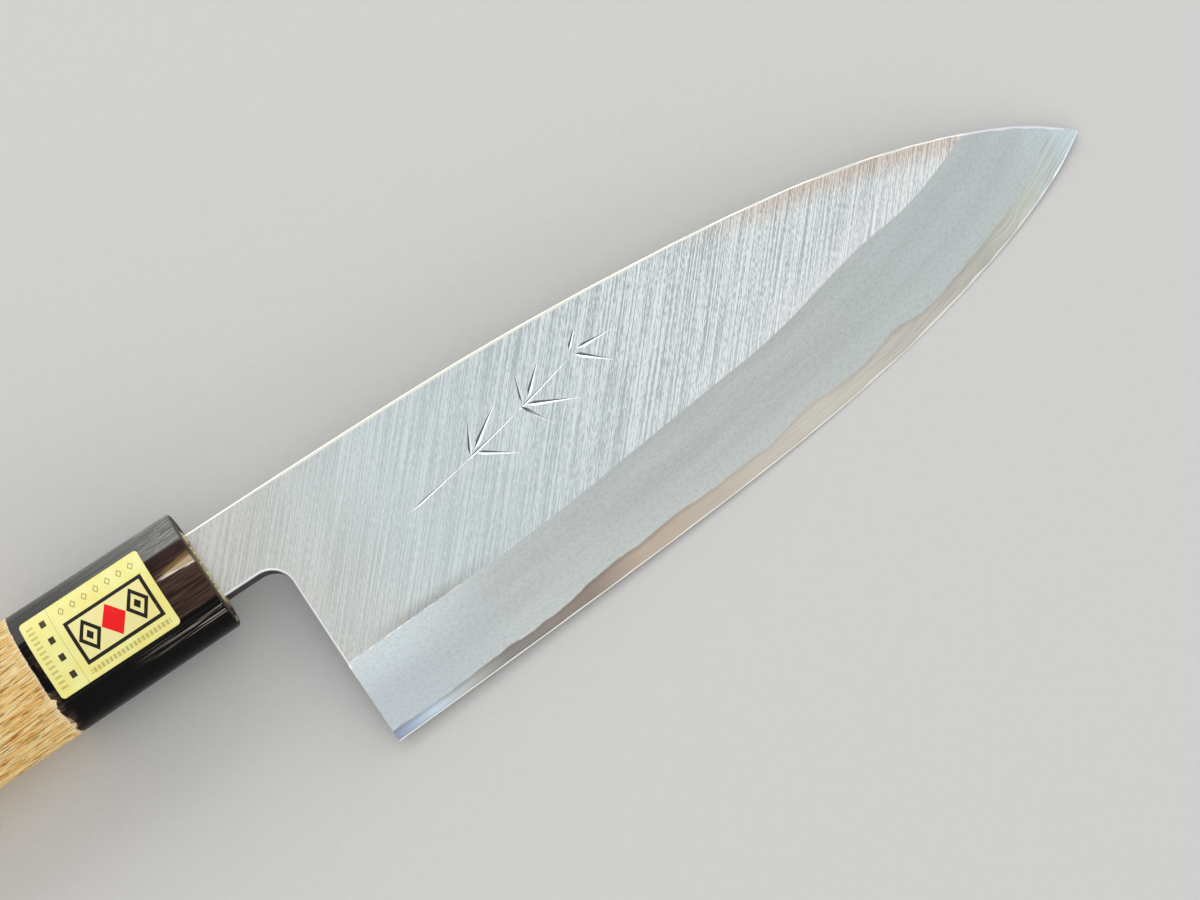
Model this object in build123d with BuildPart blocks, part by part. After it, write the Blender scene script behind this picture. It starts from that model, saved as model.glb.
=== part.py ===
from build123d import *
from math import acos, atan2, cos, radians, sin, sqrt, tan
import os

# A deba: a thick fish knife, bevelled on one side only, with a tapered D-shaped wooden handle.
# It is drawn along its handle's axis: the ferrule's front face at x = 0, the tip towards +x,
# the spine towards +y, the cutting edge towards -y and the bevelled face towards +z.
# At the end all pieces are turned together into the pose in which the knife lies on a table.

os.makedirs("parts", exist_ok=True)

# Blade, in outline
blade_length = 178.0
blade_height = 55.8
neck_length = 13.0
neck_height = 14.4
choil_radius = 4.8
tip_drop = 30.0

# Blade, in thickness
neck_thickness = 7.6
tip_thickness = 2.0
spine_round = 0.5
choil_round = 0.4

# Bevelled face: its width at the heel, the flat land at the edge and the honed micro bevel
bevel_width = 17.4
edge_land = 0.15
honed_width = 0.45
honed_angle = 33.0

# Hard steel welded to the back, and the shallow hollow ground into it
steel_thickness = 1.3
steel_scarf = 5.0
hollow_depth = 0.35
hollow_rim = 1.8
hollow_start = 6.0

# Tang, which starts with the neck's own section inside the handle
tang_length = 92.0
tang_seat = 3.0
tang_height = 11.6
tang_thickness = 5.8
tang_end_height = 4.6
tang_end_thickness = 3.0
tang_corner = 0.8

# Handle and ferrule, which share one taper
handle_length = 135.0
front_height = 25.9
front_thickness = 21.5
butt_height = 28.5
butt_thickness = 23.7
ridge_round = 2.4
butt_chamfer = 1.4
ferrule_length = 37.0
rim_chamfer = 0.6

# The handle's tenon in the ferrule's bore, the tang's slot, and the resin at the mouth
bore_height = 18.0
bore_thickness = 12.4
bore_corner = 4.5
tenon_clearance = 0.1
tang_clearance = 0.15
seal_depth = 1.4
bead_height = 0.5
bead_margin = 0.9
bead_chamfer = 0.35

# Foil label on the ferrule's bevel side
label_length = 26.6
label_width = 17.0
label_corner = 0.8
label_thickness = 0.12
label_setback = 8.5
label_offset = 0.7

# How far a cutting tool runs past what it cuts
overrun = 3.0

# Places along the blade, as shares of its length from heel to tip. At each of them: how far the
# spine has dropped and the edge has risen, as shares of the whole, how wide the bevel is, as a
# share of its width at the heel, and how deep the back is hollowed, as a share of its depth
place_shares = (0, 0.14, 0.30, 0.47, 0.64, 0.80, 0.92, 0.97, 1)
spine_shares = (0, 0.005, 0.028, 0.098, 0.215, 0.412, 0.680, 0.853, 1)
edge_shares = (0, 0.035, 0.084, 0.151, 0.264, 0.469, 0.719, 0.874, 1)
bevel_shares = (1, 0.995, 1.01, 1.09, 1.145, 1.15, 1.16, 1.17, 1.18)
hollow_shares = (0.15, 1, 1, 0.95, 0.85, 0.65, 0.25)
spine_pull_shares = (1, 0.6)

# The forged seam between iron and steel rises and falls a little along the blade
seam_place_shares = (
    0, 0.08, 0.16, 0.20, 0.28, 0.36, 0.39, 0.48, 0.55, 0.60, 0.67, 0.70, 0.76, 0.82, 0.90, 1
)
seam_shares = (
    1, 0.86, 0.90, 0.80, 1.02, 0.95, 1.05, 0.81, 0.95, 0.90, 0.73, 0.84, 0.66, 0.66, 0.58, 0.50
)

# The handle's ridge, as shares of its half height and half thickness
ridge_height_share = -0.625
ridge_reach_share = 0.93

# Where the edge touches the table, as a share of its line from heel to tip
touch_share = 0.715

top_y = neck_height / 2
heel_y = top_y - blade_height
tip_y = top_y - tip_drop
tip_x = neck_length + blade_length
back_z = -neck_thickness / 2
honed_rise = honed_width * tan(radians(honed_angle))


def thickness_at(x):
    """The blade's thickness at its flat upper face, which falls evenly from ferrule to tip."""
    return neck_thickness + (tip_thickness - neck_thickness) * x / tip_x


# The two long lines of the outline run through the same places
places = [neck_length + blade_length * share for share in place_shares]
spine_points = [(x, top_y - tip_drop * share) for x, share in zip(places, spine_shares)]
edge_points = [(x, heel_y + (tip_y - heel_y) * share) for x, share in zip(places, edge_shares)]
spine_line = Spline(*spine_points, tangents=[(1, 0), (1, -1)], tangent_scalars=spine_pull_shares)
edge_line = Spline(*edge_points)

# Blank: the blade's outline with its neck, thinned evenly towards the tip
with BuildPart() as blank:
    with BuildSketch(Plane.XY.offset(back_z)) as outline:
        with BuildLine():
            add(spine_line)
            add(edge_line)
            Polyline(
                edge_points[0],
                (neck_length, -top_y),
                (-tang_seat, -top_y),
                (-tang_seat, top_y),
                spine_points[0],
            )
        make_face()
        choil_corner = outline.vertices().sort_by_distance((neck_length, -top_y))[0]
        fillet(choil_corner, choil_radius)
    extrude(amount=neck_thickness + overrun)
    upper_face = Plane(
        origin=(0, 0, back_z + neck_thickness),
        x_dir=(tip_x, 0, tip_thickness - neck_thickness),
        z_dir=(neck_thickness - tip_thickness, 0, tip_x),
    )
    split(bisect_by=upper_face, keep=Keep.BOTTOM)
    spine_faces = ShapeList(face for face in blank.faces() if face.normal_at().Y > 0.5)
    fillet(spine_faces.edges().filter_by(Axis.Z, reverse=True), spine_round)
    choil_faces = blank.faces().filter_by(Axis.X).sort_by(Axis.X)[-1:]
    choil_edges = choil_faces.edges().filter_by(Axis.Y)
    fillet(choil_edges, choil_round)

# Space above the bevel: a wedge square to the edge at each place, lofted along the edge
edge_stations = []
for (x, y), share in zip(edge_points, bevel_shares):
    along = edge_line.tangent_at((x, y, 0))
    edge_stations.append((Vector(x, y, back_z), along, share))
first_point, first_along, first_share = edge_stations[0]
last_point, last_along, last_share = edge_stations[-1]
edge_stations.insert(0, (first_point - first_along * overrun, first_along, first_share))
edge_stations.append((last_point + last_along * overrun, last_along, last_share))

with BuildPart() as bevel_space:
    for point, along, share in edge_stations:
        inward = Vector(-along.Y, along.X, 0)
        width = bevel_width * share
        crest = thickness_at((point + inward * width).X)
        slope = (crest - edge_land - honed_rise) / (width - honed_width)
        far = width + overrun
        with BuildSketch(Plane(origin=point, x_dir=inward, z_dir=along)):
            with BuildLine():
                Polyline(
                    (-overrun, edge_land),
                    (0, edge_land),
                    (honed_width, edge_land + honed_rise),
                    (far, crest + slope * overrun),
                    (far, neck_thickness + overrun),
                    (-overrun, neck_thickness + overrun),
                    close=True,
                )
            make_face()
    loft()

# Space of the hard steel: below the seam, from a scarf beside the neck to the tip
seam_points = [
    (neck_length + blade_length * place, back_z + steel_thickness * share)
    for place, share in zip(seam_place_shares, seam_shares)
]
with BuildPart() as steel_space:
    with BuildSketch(Plane.XZ):
        with BuildLine():
            Spline(*seam_points)
            Polyline(
                seam_points[-1],
                (tip_x + overrun, seam_points[-1][1]),
                (tip_x + overrun, back_z - overrun),
                (neck_length - steel_scarf, back_z - overrun),
                (neck_length - steel_scarf, back_z),
                seam_points[0],
            )
        make_face()
    extrude(amount=blade_height + overrun, both=True)

# Hollow of the back: shallow arcs from rim to rim, fading out near the heel and the tip
with BuildPart() as hollow_space:
    for index, share in enumerate(hollow_shares):
        x = places[index] if index else places[0] + hollow_start
        low = edge_points[index][1] + hollow_rim
        high = spine_points[index][1] - hollow_rim
        with BuildSketch(Plane.YZ.offset(x)):
            with BuildLine():
                ThreePointArc(
                    (low, back_z),
                    ((low + high) / 2, back_z + hollow_depth * share),
                    (high, back_z),
                )
                Polyline(
                    (high, back_z),
                    (high, back_z - overrun),
                    (low, back_z - overrun),
                    (low, back_z),
                )
            make_face()
    loft()


def tang_section(x, height, thickness, clearance=0.0):
    """A softened rectangle across the handle's axis, for the tang or for its slot."""
    with BuildSketch(Plane.YZ.offset(x)) as section:
        RectangleRounded(height + 2 * clearance, thickness + 2 * clearance, tang_corner)
    return section.sketch


# Tang: a tapered tongue behind the neck
with BuildPart() as tang:
    loft(
        [
            tang_section(-tang_seat, tang_height, tang_thickness),
            tang_section(-tang_length, tang_end_height, tang_end_thickness),
        ]
    )

# Soft iron: the body of the blade, the neck and the tang that is burnt into the handle
with BuildPart() as blade_iron:
    add(blank.part)
    add(bevel_space.part, mode=Mode.SUBTRACT)
    add(steel_space.part, mode=Mode.SUBTRACT)
    add(tang.part)

# Hard steel: the edge and the back, with its hollow
with BuildPart() as edge_steel:
    add(blank.part)
    add(bevel_space.part, mode=Mode.SUBTRACT)
    add(steel_space.part, mode=Mode.INTERSECT)
    add(hollow_space.part, mode=Mode.SUBTRACT)


def handle_section(x, growth=0.0):
    """The handle's D shape across its axis: an oval with one softened ridge on the bevel side."""
    share = -x / handle_length
    half_height = (front_height + (butt_height - front_height) * share) / 2 + growth
    half_thickness = (front_thickness + (butt_thickness - front_thickness) * share) / 2 + growth
    ridge = (half_height * ridge_height_share, half_thickness * ridge_reach_share)
    bearing = atan2(ridge_reach_share, ridge_height_share)
    spread = acos(1 / sqrt(ridge_height_share**2 + ridge_reach_share**2))
    above = bearing - spread
    below = bearing + spread
    with BuildSketch(Plane.YZ.offset(x)) as section:
        Ellipse(half_height, half_thickness)
        with BuildLine():
            Polyline(
                (0, 0),
                (half_height * cos(above), half_thickness * sin(above)),
                ridge,
                (half_height * cos(below), half_thickness * sin(below)),
                close=True,
            )
        make_face()
        ridge_corner = section.vertices().sort_by_distance((x, *ridge))[0]
        fillet(ridge_corner, ridge_round)
    return section.sketch


# Ferrule: a ring of horn, bored right through for the tenon and eased at its front rim
with BuildPart() as horn_ferrule:
    loft([handle_section(0), handle_section(-ferrule_length)], ruled=True)
    chamfer(horn_ferrule.faces().sort_by(Axis.X)[-1].edges(), rim_chamfer)
    with BuildSketch(Plane.YZ):
        RectangleRounded(bore_height, bore_thickness, bore_corner)
    extrude(amount=-ferrule_length, mode=Mode.SUBTRACT)

# Handle: tapered wood with an eased butt and a tenon that fills the ferrule's bore
tenon_height = bore_height - 2 * tenon_clearance
tenon_thickness = bore_thickness - 2 * tenon_clearance
with BuildPart() as wood_handle:
    loft([handle_section(-ferrule_length), handle_section(-handle_length)], ruled=True)
    chamfer(wood_handle.faces().sort_by(Axis.X)[0].edges(), butt_chamfer)
    with BuildSketch(Plane.YZ.offset(-ferrule_length)):
        RectangleRounded(tenon_height, tenon_thickness, bore_corner - tenon_clearance)
    extrude(amount=ferrule_length - seal_depth)
    neck_pocket_height = neck_height + 2 * tang_clearance
    neck_pocket_thickness = neck_thickness + 2 * tang_clearance
    with BuildSketch(Plane.YZ.offset(-tang_seat)):
        Rectangle(neck_pocket_height, neck_pocket_thickness)
    extrude(amount=tang_seat, mode=Mode.SUBTRACT)
    loft(
        [
            tang_section(-tang_seat, tang_height, tang_thickness, tang_clearance),
            tang_section(-tang_length, tang_end_height, tang_end_thickness, tang_clearance),
        ],
        mode=Mode.SUBTRACT,
    )

# Mouth seal: resin that fills the bore in front of the tenon, with a bead around the neck
with BuildPart() as mouth_seal:
    with BuildSketch(Plane.YZ.offset(-seal_depth)):
        RectangleRounded(bore_height, bore_thickness, bore_corner)
    extrude(amount=seal_depth)
    with BuildSketch(Plane.YZ):
        RectangleRounded(
            neck_height + 2 * bead_margin, neck_thickness + 2 * bead_margin, 2 * bead_margin
        )
    extrude(amount=bead_height)
    chamfer(mouth_seal.faces().sort_by(Axis.X)[-1].edges(), bead_chamfer)
    add(blank.part, mode=Mode.SUBTRACT)

# Foil label: a thin skin on the ferrule, cut to a rounded rectangle as seen from the bevel side
label_x = -label_setback - label_length / 2
with BuildPart() as foil_label:
    loft(
        [
            handle_section(0, label_thickness),
            handle_section(-ferrule_length, label_thickness),
        ],
        ruled=True,
    )
    loft([handle_section(0), handle_section(-ferrule_length)], ruled=True, mode=Mode.SUBTRACT)
    with BuildSketch(Plane.XY):
        with Locations((label_x, label_offset)):
            RectangleRounded(label_length, label_width, label_corner)
    extrude(amount=front_thickness, mode=Mode.INTERSECT)

# Rest pose: the table's plane touches the edge where it curves up towards the tip, and the
# lowest point of the ferrule's front rim. The rim's point moves a little as the plane turns.
touch = (edge_line @ touch_share) + Vector(0, 0, back_z)
touch_along = edge_line % touch_share
edge_slope = touch_along.Y / touch_along.X
rim_height = front_height / 2
rim_thickness = front_thickness / 2
table_up = Vector(0, 0, 1)
for _ in range(5):
    reach = sqrt((rim_height * table_up.Y) ** 2 + (rim_thickness * table_up.Z) ** 2)
    rim = Vector(
        -rim_chamfer,
        -(rim_height**2) * table_up.Y / reach,
        -(rim_thickness**2) * table_up.Z / reach,
    )
    span = touch - rim
    lean = span.Z / (edge_slope * span.X - span.Y)
    table_up = Vector(-edge_slope * lean, lean, 1).normalized()
table = Plane(origin=(0, 0, 0), x_dir=(1, 0, -table_up.X / table_up.Z), z_dir=table_up)

# All six pieces turn together, then move so that the knife lies on z = 0 about its box's centre
knife = (blade_iron, edge_steel, horn_ferrule, wood_handle, mouth_seal, foil_label)
for piece in knife:
    piece.part = table.to_local_coords(piece.part)
box = Compound([piece.part for piece in knife]).bounding_box()
centre = box.center()
for piece in knife:
    piece.part = piece.part.moved(Location((-centre.X, -centre.Y, -box.min.Z)))

blade_iron.part.label = "blade_iron"
export_step(blade_iron.part, "parts/blade_iron.step")
edge_steel.part.label = "edge_steel"
export_step(edge_steel.part, "parts/edge_steel.step")
horn_ferrule.part.label = "horn_ferrule"
export_step(horn_ferrule.part, "parts/horn_ferrule.step")
wood_handle.part.label = "wood_handle"
export_step(wood_handle.part, "parts/wood_handle.step")
mouth_seal.part.label = "mouth_seal"
export_step(mouth_seal.part, "parts/mouth_seal.step")
foil_label.part.label = "foil_label"
export_step(foil_label.part, "parts/foil_label.step")

print("table normal in the knife's axes:", table_up)
print("knife's origin from the table's centre, in mm:", -centre.X, -centre.Y, -box.min.Z)
for name, point in (("ferrule", rim), ("edge", touch)):
    place = table.to_local_coords(point) - Vector(centre.X, centre.Y, box.min.Z)
    print("touches the table at the", name, "in mm:", place)
print("heel to tip, in mm:", (Vector(*edge_points[0]) - Vector(*edge_points[-1])).length)
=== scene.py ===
import math
import random

import bmesh
import bpy
from mathutils import Matrix, Vector
from mathutils.noise import noise as ripple


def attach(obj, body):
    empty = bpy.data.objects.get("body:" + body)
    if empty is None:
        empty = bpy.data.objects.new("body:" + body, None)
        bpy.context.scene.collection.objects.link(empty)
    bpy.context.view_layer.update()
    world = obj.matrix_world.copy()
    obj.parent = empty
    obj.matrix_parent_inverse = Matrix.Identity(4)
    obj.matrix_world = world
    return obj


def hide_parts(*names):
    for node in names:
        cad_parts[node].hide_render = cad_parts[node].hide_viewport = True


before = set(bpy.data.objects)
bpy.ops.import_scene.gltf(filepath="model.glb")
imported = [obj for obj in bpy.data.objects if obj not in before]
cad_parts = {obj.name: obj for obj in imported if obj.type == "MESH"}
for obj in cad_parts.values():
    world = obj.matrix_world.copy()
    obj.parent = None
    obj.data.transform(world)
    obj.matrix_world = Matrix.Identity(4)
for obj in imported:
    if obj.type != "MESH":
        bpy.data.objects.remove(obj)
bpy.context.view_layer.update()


# Soft iron body of the blade, forged in one with its neck and tang.
# The flat is brushed slantwise on a belt and the bevel below the ridge line is ground on a
# wet stone, which leaves it matt. A small bamboo sprig is cut into the flat with a chisel.

# The knife's own axes, in mm: x along the handle from the ferrule's front face to the tip,
# y towards the spine, z out of the bevelled face. The knife lies tilted on the table.
TABLE_UP = Vector((-0.019952, 0.105479, 0.994221))
TABLE_ALONG = Vector((TABLE_UP.z, 0, -TABLE_UP.x)).normalized()
TURN_TO_TABLE = Matrix((TABLE_ALONG, TABLE_UP.cross(TABLE_ALONG), TABLE_UP))
FERRULE_FACE = Vector((-0.027793, 0.016992, 0.010768))
MM = 0.001
TO_TABLE = Matrix.Translation(FERRULE_FACE) @ TURN_TO_TABLE.to_4x4() @ Matrix.Scale(MM, 4)

# The neck runs straight, and the blade thins evenly from the neck to the tip
NECK_END, NECK_HIGH, NECK_THICK = 13.0, 14.4, 7.6
BLADE_LONG, TIP_THICK, TIP_DROP = 178.0, 2.0, 30.0
TAPER = (NECK_THICK - TIP_THICK) / (NECK_END + BLADE_LONG)
SPINE_Y = NECK_HIGH / 2
FLAT_Z, BACK_Z = NECK_THICK / 2, -NECK_THICK / 2

# Places along the blade, 0 at the heel and 1 at the tip, and the share of its drop that the
# spine has made there
PLACES = (
    0, 0.07, 0.14, 0.22, 0.30, 0.38, 0.47, 0.56, 0.64, 0.72, 0.80, 0.84, 0.88, 0.92, 0.945, 0.97,
    0.985, 0.995, 1,
)
SPINE_FALL = (
    0, 0.0013, 0.005, 0.0126, 0.028, 0.055, 0.098, 0.1528, 0.215, 0.2966, 0.412, 0.4873, 0.576,
    0.68, 0.7568, 0.8531, 0.9219, 0.9724, 1,
)


class Value:
    """One output of a shader node. Reckoning with it adds the Math nodes."""

    def __init__(self, shading, socket):
        self.shading, self.socket = shading, socket

    def output(self, name):
        return Value(self.shading, self.socket.node.outputs[name])

    def reckon(self, operation, *values):
        return self.shading.node(
            "ShaderNodeMath", {"operation": operation}, dict(enumerate(values))
        )

    def __add__(self, other):
        return self.reckon("ADD", self, other)

    def __sub__(self, other):
        return self.reckon("SUBTRACT", self, other)

    def __rsub__(self, other):
        return self.reckon("SUBTRACT", other, self)

    def __mul__(self, other):
        return self.reckon("MULTIPLY", self, other)

    def __truediv__(self, other):
        return self.reckon("DIVIDE", self, other)

    def __abs__(self):
        return self.reckon("ABSOLUTE", self)

    def __lt__(self, other):
        return self.reckon("LESS_THAN", self, other)

    __radd__ = __add__
    __rmul__ = __mul__

    def at_least(self, other):
        return self.reckon("MAXIMUM", self, other)

    def repeated(self, step):
        return self.reckon("WRAP", self, step / 2, -step / 2)


class Shading:
    """A tree of shader nodes."""

    def __init__(self, tree):
        self.tree = tree
        tree.nodes.clear()

    def node(self, kind, settings, inputs, output=0):
        """Adds a node with its settings, then fills its sockets with values or links."""
        made = self.tree.nodes.new(kind)
        for name, value in settings.items():
            if name == "stops":
                ramp = made.color_ramp
                while len(ramp.elements) < len(value):
                    ramp.elements.new(1.0)
                for stop, (place, colour) in zip(ramp.elements, value):
                    stop.position, stop.color = place, colour
            elif name == "between_stops":
                made.color_ramp.interpolation = value
            else:
                setattr(made, name, value)
        for name, value in inputs.items():
            if isinstance(value, Value):
                self.tree.links.new(value.socket, made.inputs[name])
            else:
                made.inputs[name].default_value = value
        return Value(self, made.outputs[output]) if made.outputs else None


class Finish(Shading):
    """A material whose patterns are laid out along the knife's own axes, in mm."""

    def __init__(self, name):
        self.material = bpy.data.materials.new(name)
        self.material.use_nodes = True
        super().__init__(self.material.node_tree)
        surface = self.node("ShaderNodeTexCoord", {}, {}, "Object")
        self.place = self.node(
            "ShaderNodeMapping",
            {"vector_type": "TEXTURE"},
            {
                "Vector": surface,
                "Location": FERRULE_FACE,
                "Rotation": TURN_TO_TABLE.to_euler(),
                "Scale": (MM, MM, MM),
            },
        )
        self.x = self.node("ShaderNodeSeparateXYZ", {}, {"Vector": self.place})
        self.y, self.z = self.x.output("Y"), self.x.output("Z")

    def noise(self, size, turn=0, detail=2, roughness=0.5, start=0, place=None):
        """Cloudy noise about 0.5, with features of these sizes along x, y and z, turned about z."""
        stretched = self.node(
            "ShaderNodeMapping",
            {"vector_type": "TEXTURE"},
            {
                "Vector": place or self.place,
                "Location": (start, start, start),
                "Rotation": (0, 0, math.radians(turn)),
                "Scale": size,
            },
        )
        return self.node(
            "ShaderNodeTexNoise",
            {},
            {"Vector": stretched, "Scale": 1, "Detail": detail, "Roughness": roughness},
        )

    def rise(self, value, low, high):
        """0 where the value is under low, 1 over high, and smooth in between."""
        return self.node(
            "ShaderNodeMapRange",
            {"interpolation_type": "SMOOTHSTEP"},
            {"Value": value, "From Min": low, "From Max": high},
        )

    def mix(self, share, first, second):
        return self.node(
            "ShaderNodeMix", {"data_type": "RGBA"}, {0: share, 6: first, 7: second}, 2
        )

    def line(self, along, places, heights):
        """A smooth line of heights from 0 to 1 over the places along it, also from 0 to 1."""
        stops = [(place, (height,) * 3 + (1,)) for place, height in zip(places, heights)]
        return self.node(
            "ShaderNodeValToRGB", {"stops": stops, "between_stops": "CARDINAL"}, {0: along}
        )

    def facing(self, direction):
        """How far the surface faces in a direction in the knife's axes, from -1 to 1."""
        normal = self.node("ShaderNodeNewGeometry", {}, {}, "Normal")
        return self.node(
            "ShaderNodeVectorMath",
            {"operation": "DOT_PRODUCT"},
            {0: normal, 1: TURN_TO_TABLE @ Vector(direction)},
            "Value",
        )

    def close(self, colour, roughness, height, constants):
        """Ends the material: the colour and roughness vary, and the height is in mm."""
        normal = self.node("ShaderNodeBump", {}, {"Height": height, "Distance": MM})
        surface = {"Base Color": colour, "Roughness": roughness, "Normal": normal}
        shader = self.node("ShaderNodeBsdfPrincipled", {}, {**surface, **constants})
        self.node("ShaderNodeOutputMaterial", {}, {"Surface": shader})


def paint(red, green, blue):
    """A colour as it looks on a screen, from 0 to 255, in the shader's linear numbers."""
    return tuple(((c / 255 + 0.055) / 1.055) ** 2.4 for c in (red, green, blue)) + (1,)


# Corners nearer to each other than this, in mm, are the same corner
SAME_CORNER = 0.002


def node_copy(node):
    """A CAD node's own shape in the knife's axes, with its doubled corners merged."""
    bm = bmesh.new()
    bm.from_mesh(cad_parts[node].data)
    bmesh.ops.transform(bm, matrix=TO_TABLE.inverted(), verts=bm.verts)
    bmesh.ops.remove_doubles(bm, verts=bm.verts, dist=SAME_CORNER)
    for edge in bm.edges:
        edge.smooth = True
    return bm


def seat(bm, name, slot, finish, crease, replaces=True):
    """Smooths a drawn piece up to a crease in degrees, lays it on the table and fixes it."""
    for edge in bm.edges:
        edge.smooth = edge.smooth and edge.calc_face_angle(0) < math.radians(crease)
    for face in bm.faces:
        face.smooth = True
    bmesh.ops.transform(bm, matrix=TO_TABLE, verts=bm.verts)
    mesh = bpy.data.meshes.new(name)
    bm.to_mesh(mesh)
    bm.free()
    if "custom_normal" in mesh.attributes:
        mesh.attributes.remove(mesh.attributes["custom_normal"])
    mesh.materials.clear()
    mesh.materials.append(finish.material)
    piece = bpy.data.objects.new(name, mesh)
    bpy.context.scene.collection.objects.link(piece)
    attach(piece, "root")
    if replaces:
        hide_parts(slot)
    return piece


# Each cut starts wide and deep and runs out to a point: where it starts, its bearing from the
# handle's axis in degrees, its length and its width
SPRIG_CUTS = (
    (42.0, -13.0, 9, 13.2, 0.55),
    (56.2, -10.6, 11, 13.2, 0.55),
    (70.2, -7.8, 13, 13.6, 0.50),
    (55.6, -9.4, 62, 7.2, 0.95),
    (57.8, -9.0, 34, 9.0, 1.05),
    (57.4, -11.5, -34, 7.6, 0.90),
    (69.4, -6.4, 72, 6.0, 0.85),
    (71.6, -6.2, 42, 7.4, 1.00),
    (71.0, -8.9, -26, 9.2, 1.05),
    (69.0, -9.1, -60, 6.6, 0.85),
    (83.0, -3.2, 44, 5.4, 0.85),
    (85.2, -4.5, -4, 6.4, 0.95),
    (83.8, -5.9, -42, 7.2, 1.00),
)

# How steep a cut's walls are, its blunt start as a share of its length, and how far the corners
# of the cutter's triangle lie from its centre where it is 1 wide at the flat
CUT_STEEPNESS, CUT_NOSE, CUTTER_CORNER = 0.27, 0.22, 0.866

cutter = bmesh.new()
for x, y, bearing, length, width in SPRIG_CUTS:
    for depth, turn in ((length, 90), (length * CUT_NOSE, -90)):
        wedge = bmesh.ops.create_cone(
            cutter, segments=3, radius1=width * CUTTER_CORNER, radius2=0, depth=depth
        )["verts"]
        stand = (
            Matrix.Translation((x, y, 0))
            @ Matrix.Rotation(math.radians(bearing), 4, "Z")
            @ Matrix.Translation((math.copysign(depth / 2, turn), 0, 0))
            @ Matrix.Scale(CUT_STEEPNESS, 4, (0, 0, 1))
            @ Matrix.Rotation(math.radians(-90), 4, "X")
            @ Matrix.Rotation(math.radians(turn), 4, "Y")
        )
        bmesh.ops.transform(cutter, matrix=stand, verts=wedge)
bmesh.ops.remove_doubles(cutter, verts=cutter.verts, dist=SAME_CORNER / 2)
bmesh.ops.recalc_face_normals(cutter, faces=cutter.faces)
flat_tilt = Matrix.Translation((0, 0, FLAT_Z)) @ Matrix.Rotation(math.atan(TAPER), 4, "Y")
bmesh.ops.transform(cutter, matrix=flat_tilt, verts=cutter.verts)


def engraved(bm, cutter):
    """The shape with the cutter's wedges taken out of it."""
    pair = []
    for part in (bm, cutter):
        mesh = bpy.data.meshes.new("chisel_work")
        part.to_mesh(mesh)
        part.free()
        pair.append(bpy.data.objects.new("chisel_work", mesh))
        bpy.context.scene.collection.objects.link(pair[-1])
    cut = pair[0].modifiers.new("chisel", "BOOLEAN")
    cut.operation, cut.solver, cut.use_self, cut.object = "DIFFERENCE", "EXACT", True, pair[1]
    evaluated = pair[0].evaluated_get(bpy.context.evaluated_depsgraph_get())
    done = bmesh.new()
    done.from_mesh(evaluated.to_mesh())
    for work in pair:
        bpy.data.objects.remove(work)
    return done


# The ridge line rises from its lowest y at the heel, and the weld line from its own, in mm
RIDGE_PLACES = (0, 0.21, 0.34, 0.48, 0.62, 0.725, 0.83, 0.89, 1)
RIDGE_LOW, RIDGE_RISE = -31.1, 30.0
RIDGE_SHARES = (0, 0.037, 0.103, 0.193, 0.3, 0.4, 0.553, 0.67, 0.98)
WELD_PLACES = (
    0, 0.08, 0.15, 0.19, 0.24, 0.26, 0.30, 0.34, 0.38, 0.45, 0.49, 0.52, 0.55, 0.58, 0.61, 0.65,
    0.685, 0.71, 0.74, 0.78, 0.81, 0.85, 0.88, 0.91, 0.945, 0.966, 1,
)
WELD_LOW, WELD_RISE = -46.2, 32.0
WELD_SHARES = (
    0, 0.01, 0.032, 0.035, 0.055, 0.077, 0.103, 0.11, 0.137, 0.147, 0.163, 0.175, 0.216, 0.244,
    0.245, 0.263, 0.31, 0.34, 0.331, 0.378, 0.431, 0.497, 0.556, 0.613, 0.731, 0.819, 1,
)

# The bared steel is blued at the heel's corner, brown-grey after it, then beige, and a cool grey
# at the tip
STEEL_TONES = (
    (0.00, paint(132, 144, 174)),
    (0.05, paint(184, 200, 212)),
    (0.10, paint(170, 173, 171)),
    (0.15, paint(130, 128, 126)),
    (0.26, paint(144, 131, 121)),
    (0.33, paint(189, 174, 158)),
    (0.58, paint(214, 210, 200)),
    (0.83, paint(202, 202, 193)),
    (0.91, paint(216, 222, 213)),
    (0.96, paint(208, 217, 218)),
    (1.00, paint(222, 242, 252)),
)


def along_blade(finish):
    """0 at the heel and 1 at the tip."""
    return (finish.x - NECK_END) / BLADE_LONG


def above_ridge_line(finish):
    """The height above the ridge line between flat and bevel, in mm."""
    rise = finish.line(along_blade(finish), RIDGE_PLACES, RIDGE_SHARES) * RIDGE_RISE
    return finish.y - (RIDGE_LOW + rise)


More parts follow.
